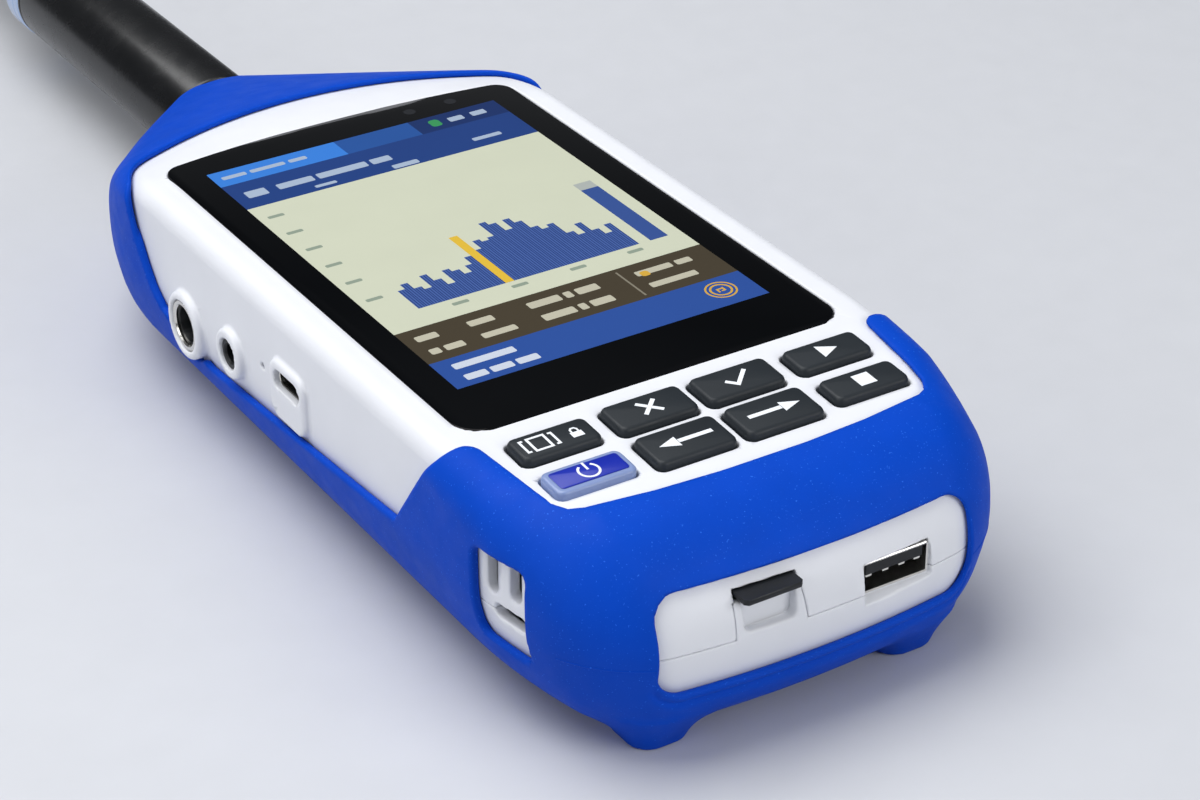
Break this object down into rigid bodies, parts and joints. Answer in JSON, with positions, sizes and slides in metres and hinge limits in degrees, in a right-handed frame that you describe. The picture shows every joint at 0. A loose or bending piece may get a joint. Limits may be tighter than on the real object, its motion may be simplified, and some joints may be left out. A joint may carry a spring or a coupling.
{
  "type": "sound level meter",
  "caption": "Handheld sound level meter with display, rubber keys, rubber jacket, side sockets and a measuring microphone on a long round preamplifier.",
  "frame": {"origin": "centre of the bounding box base, on the surface that the jacket feet rest on", "axes": "+Z out of the display, +Y towards the microphone along the longest side, +X to the right when looking at the display"},
  "size_m": [0.0914, 0.3872, 0.0428],
  "materials": {
    "white_plastic": "satin moulded plastic with a very fine grain",
    "blue_rubber": "matt silicone rubber, slightly dusty",
    "cover_glass": "gloss, black printed border round a lit display",
    "foam": "thin black foam",
    "display": "display module back",
    "key_rubber": "charcoal silicone, satin, white printed symbols",
    "key_rim": "translucent grey-blue silicone",
    "key_cap": "royal blue print, satin",
    "circuit_board": "green solder mask",
    "bright_metal": "nickel plated",
    "black_plastic": "black moulded plastic",
    "dark_plastic": "dark grey moulded plastic",
    "gold_metal": "bright brass",
    "black_metal": "gloss black anodised",
    "blue_metal": "polished, bluish",
    "capsule_metal": "matt chrome"
  },
  "bodies": {
    "housing": {"front_shell": "white_plastic", "rear_shell": "white_plastic", "protective_jacket": "blue_rubber", "display_glass": "cover_glass", "glass_gasket": "foam", "display_module": "display", "key_domes": "bright_metal", "keypad_board": "circuit_board", "front_board": "circuit_board", "main_board": "circuit_board", "card_socket": "bright_metal", "usb_a_shell": "bright_metal", "usb_a_tongue": "black_plastic", "usb_c_shell": "bright_metal", "usb_c_tongue": "black_plastic", "headphone_jack": "black_plastic", "signal_jack_ring": "bright_metal", "signal_jack_insert": "black_plastic", "note_microphone": "bright_metal", "speaker": "black_plastic", "battery_pack": "black_plastic", "battery_contacts": "gold_metal", "kickstand_pin": "bright_metal", "tripod_insert": "gold_metal", "housing_screws": "bright_metal", "microphone_socket": "bright_metal"},
    "page_key": {"key_page": "key_rubber"},
    "escape_key": {"key_escape": "key_rubber"},
    "ok_key": {"key_ok": "key_rubber"},
    "start_key": {"key_start": "key_rubber"},
    "power_key": {"key_power": "key_rim", "power_cap": "key_cap"},
    "left_key": {"key_left": "key_rubber"},
    "right_key": {"key_right": "key_rubber"},
    "stop_key": {"key_stop": "key_rubber"},
    "card": {"memory_card": "black_plastic"},
    "battery_door": {"battery_cover": "white_plastic"},
    "stand": {"kickstand": "dark_plastic"},
    "microphone": {"microphone_plug": "bright_metal", "preamp_barrel": "black_metal", "preamp_ring": "blue_metal", "preamp_neck": "black_metal", "microphone_capsule": "capsule_metal", "protection_grid": "capsule_metal"}
  },
  "joints": [
    {"name": "page_key_press", "type": "slide", "parent": "housing", "child": "page_key", "axis": [0, -0.0576, 0.9983], "range_m": [-0.0008, 0], "stiffness_N_per_m": 1200, "springref_m": 0.0005},
    {"name": "escape_key_press", "type": "slide", "parent": "housing", "child": "escape_key", "axis": [0, -0.0576, 0.9983], "range_m": [-0.0008, 0], "stiffness_N_per_m": 1200, "springref_m": 0.0005},
    {"name": "ok_key_press", "type": "slide", "parent": "housing", "child": "ok_key", "axis": [0, -0.0576, 0.9983], "range_m": [-0.0008, 0], "stiffness_N_per_m": 1200, "springref_m": 0.0005},
    {"name": "start_key_press", "type": "slide", "parent": "housing", "child": "start_key", "axis": [0, -0.0576, 0.9983], "range_m": [-0.0008, 0], "stiffness_N_per_m": 1200, "springref_m": 0.0005},
    {"name": "power_key_press", "type": "slide", "parent": "housing", "child": "power_key", "axis": [0, -0.0576, 0.9983], "range_m": [-0.0008, 0], "stiffness_N_per_m": 1200, "springref_m": 0.0005},
    {"name": "left_key_press", "type": "slide", "parent": "housing", "child": "left_key", "axis": [0, -0.0576, 0.9983], "range_m": [-0.0008, 0], "stiffness_N_per_m": 1200, "springref_m": 0.0005},
    {"name": "right_key_press", "type": "slide", "parent": "housing", "child": "right_key", "axis": [0, -0.0576, 0.9983], "range_m": [-0.0008, 0], "stiffness_N_per_m": 1200, "springref_m": 0.0005},
    {"name": "stop_key_press", "type": "slide", "parent": "housing", "child": "stop_key", "axis": [0, -0.0576, 0.9983], "range_m": [-0.0008, 0], "stiffness_N_per_m": 1200, "springref_m": 0.0005},
    {"name": "stand_fold", "type": "hinge", "parent": "housing", "child": "stand", "pos_m": [0, -0.0538, 0.0058], "axis": [1, 0, 0], "range_deg": [0, 60]},
    {"name": "card_slide", "type": "slide", "parent": "housing", "child": "card", "axis": [0, -1, 0], "range_m": [0, 0.012]},
    {"name": "battery_door_lift", "type": "slide", "parent": "housing", "child": "battery_door", "axis": [0, 0, -1], "range_m": [0, 0.01]},
    {"name": "microphone_pull", "type": "slide", "parent": "housing", "child": "microphone", "axis": [0, 1, 0], "range_m": [0, 0.0136]}
  ]
}
